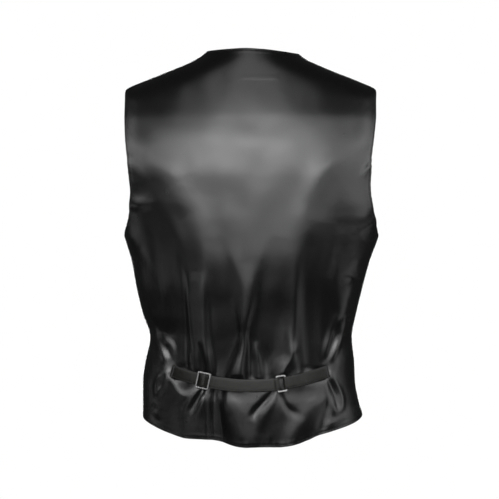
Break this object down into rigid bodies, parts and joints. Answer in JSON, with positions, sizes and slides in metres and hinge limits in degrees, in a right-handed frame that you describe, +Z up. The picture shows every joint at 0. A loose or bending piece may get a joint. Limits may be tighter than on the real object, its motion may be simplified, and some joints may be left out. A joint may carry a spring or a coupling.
{
  "type": "suit waistcoat",
  "caption": "Suit waistcoat in its hollow worn form: satin back with a metal-fitted adjusting strap, buttoned fronts, open neck, armholes and hem.",
  "frame": {"origin": "midway between the two neck points, where the shoulder seams meet the neckline and the garment rests on its wearer, level with the wearer's left one", "axes": "+Z up, +X to the wearer's right, -Y to the wearer's back, the side in the picture; +Y to the buttoned front"},
  "size_m": [0.385, 0.243, 0.6022],
  "materials": {
    "satin": "satin weave, glossy side out",
    "suiting": "matte fine twill",
    "strap_satin": "satin weave, turned and stitched",
    "fittings": "polished dark nickel plate",
    "buttons": "semi-gloss"
  },
  "bodies": {
    "root": {"back": "satin", "front_left": "suiting", "front_right": "suiting", "strap_long": "strap_satin", "strap_short": "strap_satin", "slider": "fittings", "ring": "fittings", "button_1": "buttons", "button_2": "buttons", "button_3": "buttons", "button_4": "buttons", "button_5": "buttons"}
  },
  "joints": []
}
